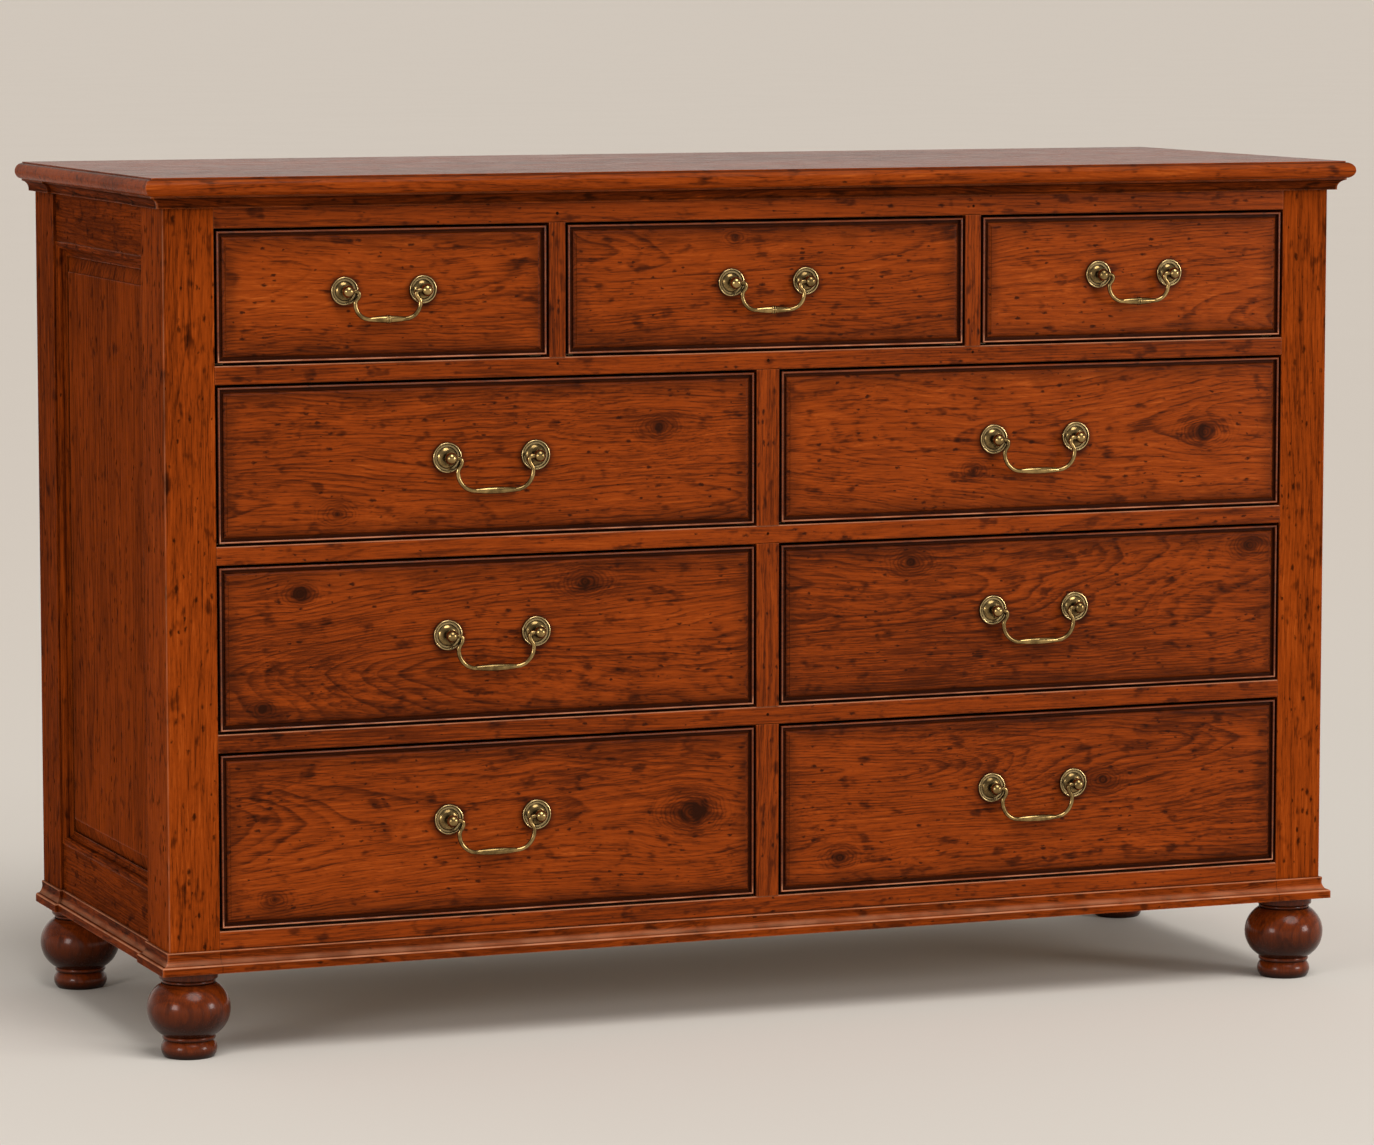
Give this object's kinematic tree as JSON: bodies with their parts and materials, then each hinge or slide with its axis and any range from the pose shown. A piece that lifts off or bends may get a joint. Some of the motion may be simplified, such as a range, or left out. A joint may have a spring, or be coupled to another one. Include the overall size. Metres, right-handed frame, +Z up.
{
  "type": "dresser",
  "caption": "Wide wooden dresser with rows of sliding moulded drawers, swinging brass bail pulls, panelled ends, moulded top and base, and turned bun feet.",
  "frame": {"origin": "on the floor, under the middle of the top board", "axes": "+X to the right along the front, +Y towards the back, +Z up"},
  "size_m": [1.438, 0.5444, 0.952],
  "materials": {
    "stained_wood": "reddish brown stain with dark glaze in the grooves, worn arrises, satin",
    "drawer_wood": "clear-finished pale wood",
    "inner_wood": "bare planed wood",
    "back_board": "thin brown-stained plywood",
    "antique_brass": "aged brass, dark in the hollows, rubbed bright on the high spots"
  },
  "bodies": {
    "carcase": {"top_board": "stained_wood", "cornice_moulding": "stained_wood", "front_left_post": "stained_wood", "front_right_post": "stained_wood", "rear_left_post": "stained_wood", "rear_right_post": "stained_wood", "left_side_rails": "stained_wood", "right_side_rails": "stained_wood", "left_side_panel": "stained_wood", "right_side_panel": "stained_wood", "left_panel_moulding": "stained_wood", "right_panel_moulding": "stained_wood", "top_rail": "stained_wood", "drawer_rails": "stained_wood", "bottom_rail": "stained_wood", "top_row_dividers": "stained_wood", "centre_stiles": "stained_wood", "base_moulding": "stained_wood", "bun_feet": "stained_wood", "back_panel": "back_board", "rear_rails": "inner_wood", "drawer_runners": "inner_wood", "drawer_guides": "inner_wood", "drawer_kickers": "inner_wood"},
    "top_left_drawer": {"top_left_drawer_front": "stained_wood", "top_left_drawer_box": "drawer_wood", "top_left_drawer_pull_posts": "antique_brass"},
    "top_left_bail": {"top_left_drawer_bail": "antique_brass"},
    "top_centre_drawer": {"top_centre_drawer_front": "stained_wood", "top_centre_drawer_box": "drawer_wood", "top_centre_drawer_pull_posts": "antique_brass"},
    "top_centre_bail": {"top_centre_drawer_bail": "antique_brass"},
    "top_right_drawer": {"top_right_drawer_front": "stained_wood", "top_right_drawer_box": "drawer_wood", "top_right_drawer_pull_posts": "antique_brass"},
    "top_right_bail": {"top_right_drawer_bail": "antique_brass"},
    "upper_left_drawer": {"upper_left_drawer_front": "stained_wood", "upper_left_drawer_box": "drawer_wood", "upper_left_drawer_pull_posts": "antique_brass"},
    "upper_left_bail": {"upper_left_drawer_bail": "antique_brass"},
    "upper_right_drawer": {"upper_right_drawer_front": "stained_wood", "upper_right_drawer_box": "drawer_wood", "upper_right_drawer_pull_posts": "antique_brass"},
    "upper_right_bail": {"upper_right_drawer_bail": "antique_brass"},
    "middle_left_drawer": {"middle_left_drawer_front": "stained_wood", "middle_left_drawer_box": "drawer_wood", "middle_left_drawer_pull_posts": "antique_brass"},
    "middle_left_bail": {"middle_left_drawer_bail": "antique_brass"},
    "middle_right_drawer": {"middle_right_drawer_front": "stained_wood", "middle_right_drawer_box": "drawer_wood", "middle_right_drawer_pull_posts": "antique_brass"},
    "middle_right_bail": {"middle_right_drawer_bail": "antique_brass"},
    "lower_left_drawer": {"lower_left_drawer_front": "stained_wood", "lower_left_drawer_box": "drawer_wood", "lower_left_drawer_pull_posts": "antique_brass"},
    "lower_left_bail": {"lower_left_drawer_bail": "antique_brass"},
    "lower_right_drawer": {"lower_right_drawer_front": "stained_wood", "lower_right_drawer_box": "drawer_wood", "lower_right_drawer_pull_posts": "antique_brass"},
    "lower_right_bail": {"lower_right_drawer_bail": "antique_brass"}
  },
  "joints": [
    {"name": "top_left_drawer_slide", "type": "slide", "parent": "carcase", "child": "top_left_drawer", "axis": [0, -1, 0], "range_m": [0, 0.36]},
    {"name": "top_left_bail_swing", "type": "hinge", "parent": "top_left_drawer", "child": "top_left_bail", "pos_m": [-0.448, -0.262, 0.8275], "axis": [-1, 0, 0], "range_deg": [-14, 90]},
    {"name": "top_centre_drawer_slide", "type": "slide", "parent": "carcase", "child": "top_centre_drawer", "axis": [0, -1, 0], "range_m": [0, 0.36]},
    {"name": "top_centre_bail_swing", "type": "hinge", "parent": "top_centre_drawer", "child": "top_centre_bail", "pos_m": [0, -0.262, 0.8275], "axis": [-1, 0, 0], "range_deg": [-14, 90]},
    {"name": "top_right_drawer_slide", "type": "slide", "parent": "carcase", "child": "top_right_drawer", "axis": [0, -1, 0], "range_m": [0, 0.36]},
    {"name": "top_right_bail_swing", "type": "hinge", "parent": "top_right_drawer", "child": "top_right_bail", "pos_m": [0.448, -0.262, 0.8275], "axis": [-1, 0, 0], "range_deg": [-14, 90]},
    {"name": "upper_left_drawer_slide", "type": "slide", "parent": "carcase", "child": "upper_left_drawer", "axis": [0, -1, 0], "range_m": [0, 0.36]},
    {"name": "upper_left_bail_swing", "type": "hinge", "parent": "upper_left_drawer", "child": "upper_left_bail", "pos_m": [-0.32575, -0.262, 0.644], "axis": [-1, 0, 0], "range_deg": [-14, 90]},
    {"name": "upper_right_drawer_slide", "type": "slide", "parent": "carcase", "child": "upper_right_drawer", "axis": [0, -1, 0], "range_m": [0, 0.36]},
    {"name": "upper_right_bail_swing", "type": "hinge", "parent": "upper_right_drawer", "child": "upper_right_bail", "pos_m": [0.32575, -0.262, 0.644], "axis": [-1, 0, 0], "range_deg": [-14, 90]},
    {"name": "middle_left_drawer_slide", "type": "slide", "parent": "carcase", "child": "middle_left_drawer", "axis": [0, -1, 0], "range_m": [0, 0.36]},
    {"name": "middle_left_bail_swing", "type": "hinge", "parent": "middle_left_drawer", "child": "middle_left_bail", "pos_m": [-0.32575, -0.262, 0.45], "axis": [-1, 0, 0], "range_deg": [-14, 90]},
    {"name": "middle_right_drawer_slide", "type": "slide", "parent": "carcase", "child": "middle_right_drawer", "axis": [0, -1, 0], "range_m": [0, 0.36]},
    {"name": "middle_right_bail_swing", "type": "hinge", "parent": "middle_right_drawer", "child": "middle_right_bail", "pos_m": [0.32575, -0.262, 0.45], "axis": [-1, 0, 0], "range_deg": [-14, 90]},
    {"name": "lower_left_drawer_slide", "type": "slide", "parent": "carcase", "child": "lower_left_drawer", "axis": [0, -1, 0], "range_m": [0, 0.36]},
    {"name": "lower_left_bail_swing", "type": "hinge", "parent": "lower_left_drawer", "child": "lower_left_bail", "pos_m": [-0.32575, -0.262, 0.247], "axis": [-1, 0, 0], "range_deg": [-14, 90]},
    {"name": "lower_right_drawer_slide", "type": "slide", "parent": "carcase", "child": "lower_right_drawer", "axis": [0, -1, 0], "range_m": [0, 0.36]},
    {"name": "lower_right_bail_swing", "type": "hinge", "parent": "lower_right_drawer", "child": "lower_right_bail", "pos_m": [0.32575, -0.262, 0.247], "axis": [-1, 0, 0], "range_deg": [-14, 90]}
  ]
}
